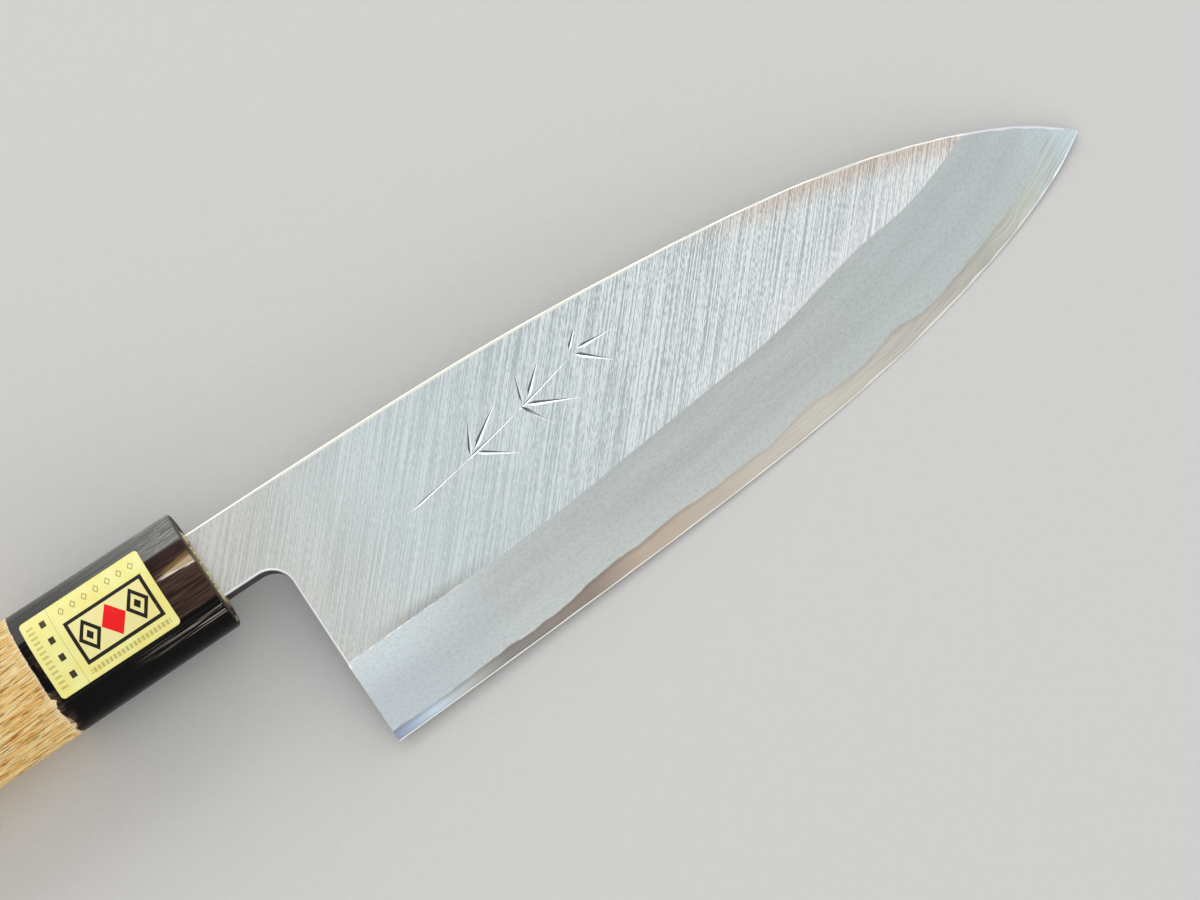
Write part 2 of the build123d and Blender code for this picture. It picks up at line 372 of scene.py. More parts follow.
def stone_ground(finish):
    """The colour of the bevel, with the steel bared below the weld line, and the stone's grain."""
    weld_rise = finish.line(along_blade(finish), WELD_PLACES, WELD_SHARES) * WELD_RISE
    above_weld = finish.y - (WELD_LOW + weld_rise)
    flow = finish.node(
        "ShaderNodeCombineXYZ", {}, {"X": finish.x, "Y": above_ridge_line(finish)}
    )
    haze = finish.noise((40, 3.5, 1), detail=3, roughness=0.6, start=12, place=flow)
    grain = finish.noise((1.6, 0.3, 1), detail=3, roughness=0.65, start=5, place=flow)
    tone = finish.rise(haze * 0.6 + grain * 0.4, 0.34, 0.66)
    bevel = finish.mix(tone, paint(187, 192, 190), paint(200, 205, 204))
    bevel = finish.mix((1 - finish.rise(above_weld, 0, 8)) * 0.65, bevel, paint(205, 211, 209))
    bevel = finish.mix(finish.rise(finish.x, 110, 165) * 0.4, bevel, paint(198, 210, 211))
    bevel = finish.mix(finish.rise(finish.x, 172, 191) * 0.7, bevel, paint(208, 221, 228))
    # Painted sheen: by the heel the bevel is lighter towards the ridge line and darker towards the
    # weld line
    heel = finish.mix(finish.rise(above_weld, 5, 14), paint(190, 199, 204), paint(214, 224, 227))
    bevel = finish.mix((1 - finish.rise(finish.x, 22, 50)) * 0.8, bevel, heel)
    grit = finish.rise(finish.noise((0.9, 0.4, 1), roughness=0.6, start=63, place=flow), 0.36, 0.64)
    bevel = finish.mix(0.2 - grit * 0.4, bevel, paint(142, 150, 150))

    steel = finish.node("ShaderNodeValToRGB", {"stops": STEEL_TONES}, {0: along_blade(finish)})
    towards_tip = finish.rise(finish.x, 100, 150)
    streak = finish.noise((12, 0.36, 1), detail=3, roughness=0.7, start=21, place=flow)
    streak = finish.rise(streak, 0.36, 0.64)
    steel = finish.mix(streak * (0.14 + towards_tip * 0.2), steel, paint(142, 138, 130))
    cloud = finish.noise((3.2, 0.7, 0.7), turn=12, detail=4, roughness=0.6, start=4) - 0.5
    below_weld = cloud * 0.7 - above_weld
    by_weld = finish.rise(below_weld, 0, 0.2) * (1 - finish.rise(below_weld, 0.3, 1.1))
    by_weld = by_weld * (0.42 - finish.rise(finish.x, 60, 100) * 0.24)
    by_weld = by_weld * (1 - finish.rise(finish.x, 150, 180) * 0.8)
    steel = finish.mix(by_weld, steel, paint(122, 112, 104))
    bared = finish.rise(below_weld, -0.14, 0.22)
    return finish.mix(bared, bevel, steel), grain


def below_flat(place):
    """How far a corner, or each point of a material, lies below the flat's plane, in mm."""
    return FLAT_Z - place.x * TAPER - place.z


iron = Finish("ground_iron")
under_flat = below_flat(iron)
on_flat = 1 - iron.rise(under_flat, 0.012, 0.05)
spine_line = SPINE_Y - iron.line(along_blade(iron), PLACES, SPINE_FALL) * TIP_DROP
from_spine = spine_line - iron.y
above_ridge = above_ridge_line(iron)

# Belt marks at about 48 degrees to the axis: short strokes, long ones, and single scratches.
# They are faint by the neck and bite deeper towards the tip.
short_brush = iron.noise((1.1, 0.22, 3), turn=48, detail=1)
long_brush = iron.noise((26, 0.24, 3), turn=48, detail=1, start=30)
scratch = iron.rise(iron.noise((24, 0.36, 3), turn=47.5, detail=1, start=71), 0.63, 0.7)
bite = 0.34 + iron.rise(iron.x, 35, 125) * 0.66
brush = iron.rise(short_brush * 0.4 + long_brush * 0.6, 0.38, 0.62) - 0.5
brush = 0.5 + (brush + scratch * 0.35) * bite
cool_flat = iron.mix(brush, paint(166, 178, 181), paint(246, 255, 255))
warm_flat = iron.mix(brush, paint(170, 171, 165), paint(240, 241, 235))
neck_warmth = 1 - iron.rise(iron.x + iron.noise((14, 9, 9)) * 20, 14, 52)
flat_colour = iron.mix(neck_warmth, cool_flat, warm_flat)
glare = iron.rise(iron.x, 70, 150) * (1 - iron.rise(above_ridge, 1, 24) * 0.6)
flat_colour = iron.mix(
    glare * 0.85, flat_colour, iron.mix(brush, paint(194, 203, 204), paint(255, 255, 255))
)
ridge_glow = (1 - iron.rise(above_ridge, 1, 7)) * iron.rise(iron.x, 60, 110)
bright_flat = iron.mix(brush, paint(206, 217, 219), paint(255, 255, 255))
flat_colour = iron.mix(ridge_glow * 0.5, flat_colour, bright_flat)
# Painted reflection: a warm tan cast on the flat below the spine towards the tip
spine_tan_reflection = (1 - iron.rise(from_spine, 0.8, 6)) * iron.rise(iron.x, 106, 138)
tan_reflection_flat = iron.mix(brush, paint(188, 170, 155), paint(234, 218, 204))
flat_colour = iron.mix(spine_tan_reflection * 0.75, flat_colour, tan_reflection_flat)
# Darker and browner along the ridge line by the heel
heel_ridge_darkening = (1 - iron.rise(above_ridge, 0.2, 3)) * iron.rise(iron.x, 16, 30)
heel_ridge_darkening = heel_ridge_darkening * (1 - iron.rise(iron.x, 34, 52))
flat_colour = iron.mix(heel_ridge_darkening * 0.5, flat_colour, paint(146, 140, 130))

# The walls of the neck and choil are painted dark, as painted shade and a painted dark reflection,
# apart from their eased upper edge and the spine
neck_painted_shade = iron.rise(under_flat, 0.5, 1.2) * (1 - iron.rise(iron.x, 11.5, 13.2))
neck_painted_shade = neck_painted_shade * iron.rise(iron.y, -20, -18) * (1 - iron.rise(iron.y, 6.4, 6.9))
neck_mottle = iron.noise((1.5, 1.1, 1.1), detail=4, roughness=0.65, start=8)
neck_shade_colour = iron.mix(neck_mottle, paint(52, 48, 52), paint(108, 102, 104))

# The choil's eased edge catches the light in one clean line round its corner
CHOIL_ROUND = 4.8
CHOIL_X, CHOIL_Y = NECK_END - CHOIL_ROUND, -NECK_HIGH / 2 - CHOIL_ROUND
past_choil = iron.node(
    "ShaderNodeCombineXYZ",
    {},
    {"X": (iron.x - CHOIL_X).at_least(0), "Y": (iron.y - CHOIL_Y).at_least(0)},
)
past_choil = iron.node("ShaderNodeVectorMath", {"operation": "LENGTH"}, {0: past_choil}, "Value")
choil_light = 1 - iron.rise(past_choil - CHOIL_ROUND, 0.3, 0.5)
choil_light = choil_light * (1 - iron.rise(under_flat, 0.35, 0.6))
choil_light = choil_light * (0.6 + iron.rise(iron.x, 7, 12) * 0.4)

# A fine burr stands on the ridge line by the heel, painted as a broken bright line: a painted glint
ridge_burr_glint = iron.rise(under_flat, 0.006, 0.012) * (1 - iron.rise(under_flat, 0.06, 0.12))
ridge_burr_glint = ridge_burr_glint * iron.rise(iron.noise((1.6, 0.5, 0.5), roughness=0.6, start=3), 0.46, 0.62)
ridge_burr_glint = ridge_burr_glint * (1 - iron.rise(iron.x, 25, 50)) * (1 - iron.rise(iron.y, -27, -25))

# The chisel's cuts are bare inside; one wall carries a painted highlight and the other painted
# shade. They lie between these two places along the blade and above this height.
SPRIG_FROM, SPRIG_TO, SPRIG_LOW = 38, 96, -20
chiselled = iron.rise(under_flat, 0.008, 0.03) * iron.rise(from_spine, 1.5, 2)
chiselled = chiselled * iron.rise(iron.y, SPRIG_LOW, SPRIG_LOW + 1)
chiselled = chiselled * iron.rise(iron.x, SPRIG_FROM, SPRIG_FROM + 1)
chiselled = chiselled * (1 - iron.rise(iron.x, SPRIG_TO - 1, SPRIG_TO))
lit_wall = iron.rise(iron.facing((-0.5, 0.86, 0)), -0.08, 0.08)
cut_lit_and_shaded = iron.mix(lit_wall, paint(104, 106, 106), paint(240, 244, 244))

# The spine's eased edge carries a painted highlight: a pale line, widest before the middle of the
# blade
highlight_wide = 0.5 + iron.rise(iron.x, 10, 30) * 0.3 - iron.rise(iron.x, 90, 150) * 0.34
spine_highlight = 1 - iron.rise(from_spine - highlight_wide, -0.1, 0.12)
spine_highlight_tone = iron.mix(iron.rise(from_spine, 0, 0.4), paint(206, 207, 197), paint(246, 247, 236))
spine_highlight_tone = iron.mix(iron.rise(iron.x, 160, 172) * 0.8, spine_highlight_tone, paint(236, 238, 246))

bevel_colour, stone_grain = stone_ground(iron)
iron_colour = iron.mix(on_flat, bevel_colour, flat_colour)
iron_colour = iron.mix(spine_highlight, iron_colour, spine_highlight_tone)
iron_colour = iron.mix(chiselled, iron_colour, cut_lit_and_shaded)
iron_colour = iron.mix(choil_light, iron_colour, paint(252, 252, 255))
iron_colour = iron.mix(neck_painted_shade, iron_colour, neck_shade_colour)
iron_colour = iron.mix(ridge_burr_glint, iron_colour, paint(250, 253, 250))
iron_rough = 0.5 - on_flat * 0.17 + (0.5 - brush) * on_flat * 0.1 + neck_painted_shade * 0.12 - chiselled * 0.2
iron_height = (
    brush * on_flat * 0.006 + stone_grain * (1 - on_flat) * 0.003 + neck_mottle * neck_painted_shade * 0.06
)
iron.close(iron_colour, iron_rough, iron_height, {"Metallic": 1})

# The flat ends in a crisp line all round, also near the tip, where the bevel leans little
LEVEL_WITHIN = 0.01
blade_body = engraved(node_copy("blade_iron"), cutter)
for edge in blade_body.edges:
    level = [
        all(abs(below_flat(corner.co)) < LEVEL_WITHIN for corner in face.verts)
        for face in edge.link_faces
    ]
    edge.smooth = len(set(level)) < 2
seat(blade_body, "blade_iron_engraved", "blade_iron", iron, crease=14)


# Hard steel forge-welded under the iron: the whole back of the blade and its cutting edge.
# Polishing stones darken it against the iron, with a cloudy line where the two are welded.
# The edge is honed bright, and the back is hollow-ground with a flat polished rim.

# The edge's lowest y and its rise to the tip, its thickness, and the honed strip's width and
# soft border, in mm. The land that the solid leaves too thick is levelled up to LAND_TOP.
EDGE_Y, EDGE_RISE, EDGE_THICK = -48.6, 25.8, 0.15
HONED_WIDE, HONED_SOFT, LAND_TOP, BLUNT_X = 0.28, 0.06, 0.7, 190.87
EDGE_CLIMB = (
    0, 0.0168, 0.035, 0.0582, 0.084, 0.1127, 0.151, 0.2012, 0.264, 0.3521, 0.469, 0.5398, 0.6218,
    0.719, 0.7902, 0.874, 0.9331, 0.9769, 1,
)

steel = Finish("polished_steel")
band, steel_grain = stone_ground(steel)
upward = steel.rise(steel.facing((0, 0, 1)), 0.2, 0.35)
above_back = steel.z - BACK_Z
from_edge = steel.y - EDGE_Y - steel.line(along_blade(steel), PLACES, EDGE_CLIMB) * EDGE_RISE
honed = upward * (1 - steel.rise(from_edge, HONED_WIDE - HONED_SOFT, HONED_WIDE + HONED_SOFT))
bright = steel.mix(steel.rise(steel.x, 165, 185), paint(246, 245, 236), paint(232, 244, 250))
band = steel.mix(honed, band, bright)

# On the back, wheel marks cross the hollow, and the rim is rubbed flat and bright
wheel = steel.noise((0.22, 12, 3), turn=-18, detail=3, roughness=0.6, start=17)
backward = 1 - steel.rise(steel.facing((0, 0, 1)), -0.5, -0.2)
rim = backward * (1 - steel.rise(above_back, 0.004, 0.03))
back_colour = steel.mix(steel.rise(wheel, 0.35, 0.65), paint(168, 173, 175), paint(204, 209, 210))
back_colour = steel.mix(rim, back_colour, paint(216, 220, 221))
steel_colour = steel.mix(backward, band, back_colour)
steel_rough = 0.47 - steel_grain * 0.06 - honed * 0.2 + backward * (wheel * 0.2 - 0.16) - rim * 0.1
steel_height = steel_grain * upward * 0.003 + wheel * (backward - rim).at_least(0) * 0.006
steel.close(steel_colour, steel_rough, steel_height, {"Metallic": 1})

# The edge is honed to one thickness all along, and the very tip is blunt by a hair
steel_plate = node_copy("edge_steel")
steel_plate.normal_update()
for corner in steel_plate.verts:
    on_wall = any(face.normal.y < -0.5 for face in corner.link_faces)
    if on_wall and BACK_Z + EDGE_THICK < corner.co.z < BACK_Z + LAND_TOP:
        corner.co.z = BACK_Z + EDGE_THICK
    corner.co.x = min(corner.co.x, BLUNT_X)
bmesh.ops.remove_doubles(steel_plate, verts=steel_plate.verts, dist=SAME_CORNER)
seat(steel_plate, "edge_steel_polished", "edge_steel", steel, crease=11)


# Ferrule of buffalo horn, bored and shrunk on to the handle's tenon, then turned and polished.
# It is black with brown streaks and one pale amber streak at the front. Its front rim is
# eased by hand, and its front face is left matt from the file.

HANDLE_LONG, FERRULE_LONG = 135.0, 37.0
FRONT_HIGH, FRONT_THICK = 25.9, 21.5
BUTT_HIGH, BUTT_THICK = 28.5, 23.7
RIDGE_SIDE, RIDGE_OUT, RIDGE_ROUND = -0.625, 0.93, 2.4
BORE_HIGH, BORE_THICK, BORE_CORNER = 18.0, 12.4, 4.5
ROUND_COUNT = 208


def handle_outline(x, growth):
    """The D section at x as a function of the bearing round it: an oval with one soft ridge."""
    share = -x / HANDLE_LONG
    high = (FRONT_HIGH + (BUTT_HIGH - FRONT_HIGH) * share) / 2 + growth
    thick = (FRONT_THICK + (BUTT_THICK - FRONT_THICK) * share) / 2 + growth
    ridge_bearing = math.atan2(RIDGE_OUT, RIDGE_SIDE)
    spread = math.acos(1 / math.hypot(RIDGE_OUT, RIDGE_SIDE))

    def at(bearing):
        beside = abs(bearing - ridge_bearing)
        out = 1 / math.cos(spread - beside) if beside < spread else 1
        return Vector((high * math.cos(bearing), thick * math.sin(bearing))) * out

    ridge = Vector((high * RIDGE_SIDE, thick * RIDGE_OUT))
    flanks = [(at(ridge_bearing + side * spread) - ridge).normalized() for side in (-1, 1)]
    half_angle = flanks[0].angle(flanks[1]) / 2
    centre = ridge + (flanks[0] + flanks[1]).normalized() * (RIDGE_ROUND / math.sin(half_angle))

    def eased(bearing):
        point = at(bearing)
        if (point - ridge).length < RIDGE_ROUND / math.tan(half_angle):
            point = centre + (point - centre).normalized() * RIDGE_ROUND
        return point

    return eased


def rounded_outline(high, thick, corner):
    """A rectangle with rounded corners as a function of the bearing round it."""

    def at(bearing):
        across, out = math.cos(bearing), math.sin(bearing)
        return Vector(
            (
                corner * across + math.copysign(high / 2 - corner, across),
                corner * out + math.copysign(thick / 2 - corner, out),
            )
        )

    return at


def hoop(bm, x, outline):
    """A closed ring of corners across the handle's axis, from a circle pushed out to an outline."""
    corners = bmesh.ops.create_circle(bm, segments=ROUND_COUNT, radius=1)["verts"]
    for corner in corners:
        bearing = (math.atan2(corner.co.y, corner.co.x) + 0.5 / ROUND_COUNT) % math.tau
        corner.co = (x, *outline(bearing))
    return corners


def skin(bm, hoops):
    """Closes the surface between each hoop and the next."""
    for first, second in zip(hoops, hoops[1:]):
        both = set(first) | set(second)
        edges = [edge for edge in bm.edges if edge.verts[0] in both and edge.verts[1] in both]
        edges = [edge for edge in edges if (edge.verts[0] in first) == (edge.verts[1] in first)]
        bmesh.ops.bridge_loops(bm, edges=edges)


# The eased front rim: x of each hoop, and how far it stands out from the section's outline
RIM_STEPS = ((0, -0.60), (-0.12, -0.34), (-0.32, -0.12), (-0.60, -0.01), (-1.2, -0.01))

horn_ring = bmesh.new()
wall = [hoop(horn_ring, x, handle_outline(x, growth)) for x, growth in RIM_STEPS]
wall.append(hoop(horn_ring, -FERRULE_LONG, handle_outline(-FERRULE_LONG, -0.01)))
bore = rounded_outline(BORE_HIGH, BORE_THICK, BORE_CORNER)
bore_hoops = [hoop(horn_ring, -FERRULE_LONG, bore), hoop(horn_ring, 0, bore)]
skin(horn_ring, [*wall, *bore_hoops, wall[0]])
bmesh.ops.recalc_face_normals(horn_ring, faces=horn_ring.faces)

horn = Finish("polished_horn")
on_front = horn.rise(horn.x, -0.35, -0.05)
bevel_side = horn.rise(horn.z, 0.5, 2.5)
fibre = horn.noise((26, 0.9, 0.9), turn=2, detail=4, roughness=0.6, start=6)
fine_fibre = horn.noise((9, 0.3, 0.3), detail=3, roughness=0.65, start=14)
black_horn = horn.mix(
    horn.rise(fibre * 0.7 + fine_fibre * 0.3, 0.5, 0.7), paint(2, 2, 2), paint(24, 18, 15)
)

# The brown front of the ring, a brown patch by the wood, and a painted grey reflection along the
# flank towards the spine
brown_share = horn.rise(horn.x + fibre * 14, -8, 3) * bevel_side * horn.rise(horn.y, -7.4, -7)
brown = horn.mix(horn.rise(fine_fibre, 0.38, 0.62), paint(50, 33, 28), paint(88, 68, 58))
brown = horn.mix(horn.rise(horn.y + fibre * 3, 4, 6) * 0.7, brown, paint(44, 28, 28))
horn_colour = horn.mix(brown_share * 0.9, black_horn, brown)
back_patch = (1 - horn.rise(horn.x + fibre * 3, -35, -33)) * bevel_side
patchy = horn.noise((6, 4.6, 4.6), detail=3, roughness=0.6, start=2)
back_patch = back_patch * horn.rise(patchy, 0.47, 0.6)
horn_colour = horn.mix(back_patch * 0.8, horn_colour, brown)
# Painted reflection: a grey band on the upper flank, lighter at the front and darker towards the
# back
flank_reflection = horn.rise(horn.y + fine_fibre * 0.4, 5.9, 6.4) * bevel_side
flank_reflection_colour = horn.mix(horn.rise(fibre, 0.3, 0.7), paint(104, 104, 103), paint(138, 138, 134))
flank_reflection_colour = horn.mix((1 - horn.rise(horn.x, -34, -2)) * 0.8, flank_reflection_colour, paint(64, 62, 63))
# Painted glints: pale streaks within the flank's painted reflection near the front
flank_glints = horn.noise((5, 0.5, 0.5), turn=8, detail=3, roughness=0.65, start=60)
flank_glints = horn.rise(flank_glints, 0.5, 0.66)
flank_glints = flank_glints * horn.rise(horn.x, -11, -4)
flank_reflection_colour = horn.mix(flank_glints * 0.7, flank_reflection_colour, paint(184, 182, 172))
horn_colour = horn.mix(flank_reflection * 0.9, horn_colour, flank_reflection_colour)
# Painted highlight: thin pale lines along the lower ridge towards the front
low_ridge_highlight = (1 - horn.rise(abs(horn.y + 9 + fibre), 0.5, 1.2)) * bevel_side
highlight_strands = horn.noise((16, 0.36, 0.36), turn=1, roughness=0.6, start=44)
low_ridge_highlight = low_ridge_highlight * horn.rise(highlight_strands, 0.53, 0.6)
low_ridge_highlight = low_ridge_highlight * horn.rise(horn.x, -22, -4)
horn_colour = horn.mix(low_ridge_highlight * 0.9, horn_colour, paint(168, 158, 146))

# One thin cream streak with an amber upper side opens out towards the front
strand = horn.noise((6, 0.3, 0.3), turn=3, detail=3, roughness=0.65, start=9) - 0.5
streak_y = horn.y - 1.5 + strand * 0.9
streak_half = 0.12 + horn.rise(horn.x, -9, 0) * 0.85
streak_end = horn.rise(horn.x + strand * 10, -9.5, -5) * bevel_side
amber = (1 - horn.rise(abs(streak_y - 0.7) / streak_half, 0.5, 1.5)) * streak_end
cream = (1 - horn.rise(abs(streak_y) / streak_half, 0.3, 1.1)) * streak_end
pale_line = (1 - horn.rise(abs(streak_y + streak_half * 0.8), 0.08, 0.3)) * streak_end
horn_colour = horn.mix(amber * 0.7, horn_colour, paint(142, 112, 66))
horn_colour = horn.mix(cream * 0.8, horn_colour, paint(206, 186, 152))
horn_colour = horn.mix(pale_line * 0.85, horn_colour, paint(240, 230, 208))
filed = horn.noise((0.5, 0.14, 0.5), turn=30, detail=3, roughness=0.6, start=33)
filed_horn = horn.mix(filed, paint(36, 31, 28), paint(84, 74, 62))
horn_colour = horn.mix(on_front * 0.8, horn_colour, filed_horn)
worn = horn.rise(horn.noise((5, 3, 3), detail=4, roughness=0.65, start=40), 0.55, 0.75)
horn_rough = 0.17 + worn * 0.12 + fine_fibre * 0.06 + on_front * 0.35
horn_height = fine_fibre * 0.004 + fibre * 0.006 + filed * on_front * 0.04
horn.close(horn_colour, horn_rough, horn_height, {"Specular IOR Level": 0.08})

seat(horn_ring, "ferrule_horn_polished", "horn_ferrule", horn, crease=25)


# Handle of plain magnolia, shaped to the same D as the ferrule and left without any finish.
# The grain is coarse and open, the butt is eased by hand, and where the wood meets the horn
# its cut fibres stand up in a fuzzy, ragged edge.

# The wood stands a little proud of the horn at the joint, and is shaped down behind it
WOOD_PROUD, WOOD_SHAPED = 0.05, -0.015
WOOD_HOOPS, WOOD_FIRST, HOOPS_SPREAD = 40, -FERRULE_LONG - 0.4, 1.15
BUTT_STEPS = ((-133.6, -0.02), (-134.2, -0.4), (-134.7, -0.86), (-134.98, -1.5))

wood_random = random.Random(11)
magnolia = bmesh.new()
front_hoop = hoop(magnolia, -FERRULE_LONG, handle_outline(-FERRULE_LONG, WOOD_PROUD))
for corner in front_hoop:
    low_side = max(0.0, min(1.0, -4 - corner.co.y))
    corner.co.x += (0.2 + 0.75 * low_side) * wood_random.random() ** 2
hoops = [front_hoop]
for step in range(1, WOOD_HOOPS + 1):
    x = WOOD_FIRST + (BUTT_STEPS[0][0] - WOOD_FIRST) * (step / WOOD_HOOPS) ** HOOPS_SPREAD
    growth = WOOD_PROUD * math.exp(-step / 2) + WOOD_SHAPED
    hoops.append(hoop(magnolia, x, handle_outline(x, growth)))
hoops += [hoop(magnolia, x, handle_outline(x, growth)) for x, growth in BUTT_STEPS]
skin(magnolia, hoops)
open_edges = [edge for edge in magnolia.edges if edge.is_boundary]
for end_hoop in (hoops[0], hoops[-1]):
    end_edges = [edge for edge in open_edges if edge.verts[0] in end_hoop]
    bmesh.ops.edgeloop_fill(magnolia, edges=end_edges)
bmesh.ops.recalc_face_normals(magnolia, faces=magnolia.faces)

wood = Finish("bare_magnolia")
bands = wood.noise((70, 5, 3.5), turn=2, start=3)
grain = wood.noise((16, 0.6, 0.6), turn=2, detail=4, roughness=0.6, start=8)
pores = wood.rise(wood.noise((4.5, 0.4, 0.4), turn=1.5, roughness=0.6, start=19), 0.54, 0.62)
shine = wood.rise(wood.noise((5.5, 0.42, 0.42), turn=4, roughness=0.6, start=27), 0.54, 0.62)
wood_colour = wood.mix(wood.rise(grain, 0.36, 0.64), paint(222, 164, 84), paint(255, 230, 160))
wood_colour = wood.mix(wood.rise(bands, 0.4, 0.62) * 0.3, wood_colour, paint(234, 188, 120))
wood_colour = wood.mix(pores * 0.8, wood_colour, paint(160, 104, 46))
wood_colour = wood.mix(shine * 0.8, wood_colour, paint(255, 242, 192))
on_butt = 1 - wood.rise(wood.x, -134.9, -134.2)
rings = wood.node(
    "ShaderNodeTexWave",
    {"wave_type": "RINGS", "rings_direction": "X"},
    {
        "Vector": wood.node(
            "ShaderNodeMapping", {}, {"Vector": wood.place, "Location": (0, 22, 9)}
        ),
        "Scale": 0.16,
        "Distortion": 1.6,
        "Detail": 2,
        "Detail Scale": 1.2,
    },
)
end_pores = wood.noise((0.3, 0.3, 0.3), detail=3, roughness=0.7, start=50)
end_grain = wood.mix(rings * 0.6 + end_pores * 0.4, paint(176, 132, 82), paint(222, 184, 130))
wood_colour = wood.mix(on_butt, wood_colour, end_grain)
joint_dust = wood.rise(wood.x, -38.2, -36.8)
wood_colour = wood.mix(joint_dust * 0.6, wood_colour, paint(252, 232, 192))
wood_rough = 0.72 - shine * 0.16 + pores * 0.1
wood_height = (grain * 0.13 - pores * 0.06 + shine * 0.03) * (1 - on_butt)
wood_height = wood_height + end_pores * on_butt * 0.06
wood.close(wood_colour, wood_rough, wood_height, {"Specular IOR Level": 0.12})

seat(magnolia, "handle_magnolia_bare", "wood_handle", wood, crease=35)

# Loose fibres at the joint: thin slivers that lie forward over the horn
SPLINTERS, SPLINTER_ROOT, SPLINTER_POINT, SPLINTER_FLATNESS = 120, 0.5, 0.01, 0.35
splinters = bmesh.new()
for _ in range(SPLINTERS):
    bearing = math.pi * (1 + wood_random.uniform(-1, 1) ** 3)
    low_side = max(0.0, -math.cos(bearing)) ** 2
    long = 0.15 + (0.2 + 1.1 * low_side) * wood_random.random() ** 2
    across, out = handle_outline(-FERRULE_LONG + 0.3, 0.03)(bearing)
    sliver = bmesh.ops.create_cone(
        splinters,
        cap_ends=True,
        segments=4,
        radius1=wood_random.uniform(0.09, 0.2),
        radius2=SPLINTER_POINT,
        depth=long + SPLINTER_ROOT,
    )["verts"]
    lie = (
        Matrix.Translation((-FERRULE_LONG + (long - SPLINTER_ROOT) / 2, across, out))
        @ Matrix.Rotation(math.atan2(out, across), 4, "X")
        @ Matrix.Rotation(wood_random.uniform(-0.25, 0.25), 4, "Y")
        @ Matrix.Scale(SPLINTER_FLATNESS, 4, (0, 1, 0))
        @ Matrix.Rotation(math.radians(90), 4, "Y")
    )
    bmesh.ops.transform(splinters, matrix=lie, verts=sliver)
seat(splinters, "handle_joint_fibres", "wood_handle", wood, crease=20, replaces=False)


# Resin that closes the ferrule's mouth round the neck, run in warm and wiped with a finger.
# It is yellowish and rough, creeps a little way on to the blade, and left one hard drop on
# the ferrule's lower rim.

# The resin reaches this deep into the bore and ends this far below the horn's face, with a
# hair's gap to the bore's wall
SEAL_DEEP, SEAL_SUNK, BORE_GAP = 1.4, 0.05, 0.06

# The bead round the neck, from its foot on the horn up to the steel: x, how much higher and
# thicker than the neck it is, the radius of its corners, and how lumpy it is
BEAD_STEPS = (
    (0.04, 2.6, 2.2, 2.0, 0.5),
    (0.14, 1.7, 1.6, 1.6, 1),
    (0.34, 1.1, 1.1, 1.1, 1),
    (0.46, 0.6, 0.6, 0.8, 1),
    (0.48, 0.04, 0.04, 0.5, 1),
)
LUMP_LEAST = 0.01

collar = bmesh.new()
filling = rounded_outline(BORE_HIGH - BORE_GAP, BORE_THICK - BORE_GAP, BORE_CORNER)
collar_hoops = [hoop(collar, x, filling) for x in (-SEAL_DEEP, -SEAL_SUNK)]
bead = []
for x, higher, thicker, rounding, lumpy in BEAD_STEPS:
    neck_outline = rounded_outline(NECK_HIGH + higher, NECK_THICK + thicker, rounding)
    bead.append((hoop(collar, x, neck_outline), lumpy))
collar_hoops += [ring for ring, _ in bead]
collar_hoops.append(hoop(collar, -SEAL_DEEP, neck_outline))
skin(collar, [*collar_hoops, collar_hoops[0]])
for ring, lumpy in bead:
    for corner in ring:
        lump = ripple(corner.co * 1.3) * 0.3 + ripple(corner.co * 3.1) * 0.16
        corner.co.x = max(LUMP_LEAST, corner.co.x + lumpy * (lump + 0.04))
bmesh.ops.recalc_face_normals(collar, faces=collar.faces)

resin = Finish("mouth_resin")
grit = resin.noise((0.5, 0.5, 0.5), detail=4, roughness=0.7, start=3)
dirt = resin.rise(resin.noise((1.3, 1.3, 1.3), detail=3, roughness=0.6, start=11), 0.5, 0.68)
resin_colour = resin.mix(resin.rise(grit, 0.34, 0.66), paint(150, 134, 92), paint(226, 214, 172))
resin_colour = resin.mix(dirt * 0.7, resin_colour, paint(88, 74, 56))
# Painted shade: the resin is darker where it sinks into the bore and at the bead's foot on the horn
sunk_shade = 1 - resin.rise(resin.x + grit * 0.3, 0.2, 0.4)
resin_colour = resin.mix(sunk_shade * 0.8, resin_colour, paint(74, 62, 48))
resin_colour = resin.mix(1 - resin.rise(resin.y, -10.6, -10), resin_colour, paint(126, 120, 100))
resin.close(resin_colour, 0.62 - grit * 0.3, grit * 0.12, {"Specular IOR Level": 0.4})

seat(collar, "mouth_resin_collar", "mouth_seal", resin, crease=40)

DROP_ROUND, DROP_LUMPY, DROP_SEED = 0.5, 0.45, Vector((3, 1, 7))
DROP_PLACE, DROP_STRETCH = (0.05, -11.75, 2.2), (0.9, 1.25, 1.1, 1)

drop = bmesh.new()
bmesh.ops.create_icosphere(drop, subdivisions=4, radius=DROP_ROUND)
for corner in drop.verts:
    corner.co *= 1 + DROP_LUMPY * ripple(corner.co * 2.1 + DROP_SEED)
hang = Matrix.Translation(DROP_PLACE) @ Matrix.Diagonal(DROP_STRETCH)
bmesh.ops.transform(drop, matrix=hang, verts=drop.verts)
seat(drop, "mouth_resin_drop", "mouth_seal", resin, crease=60, replaces=False)


# Label of pale yellow foil, stuck on the polished horn and pressed down by hand.
# It is cut with rounded corners, printed in black and red, and its lower edge has started to
# lift where it meets the handle's ridge. The print is a plain set of lozenges in a frame.

LABEL_LONG, LABEL_WIDE, LABEL_CORNER = 26.6, 17.0, 0.8
LABEL_X, LABEL_Y = -8.5 - LABEL_LONG / 2, 0.7
LABEL_THICK = 0.11
CELLS_LONG, CELLS_WIDE, HALVINGS = 106, 68, 30
LIFT_HIGH, LIFT_FROM = 0.22, 0.86

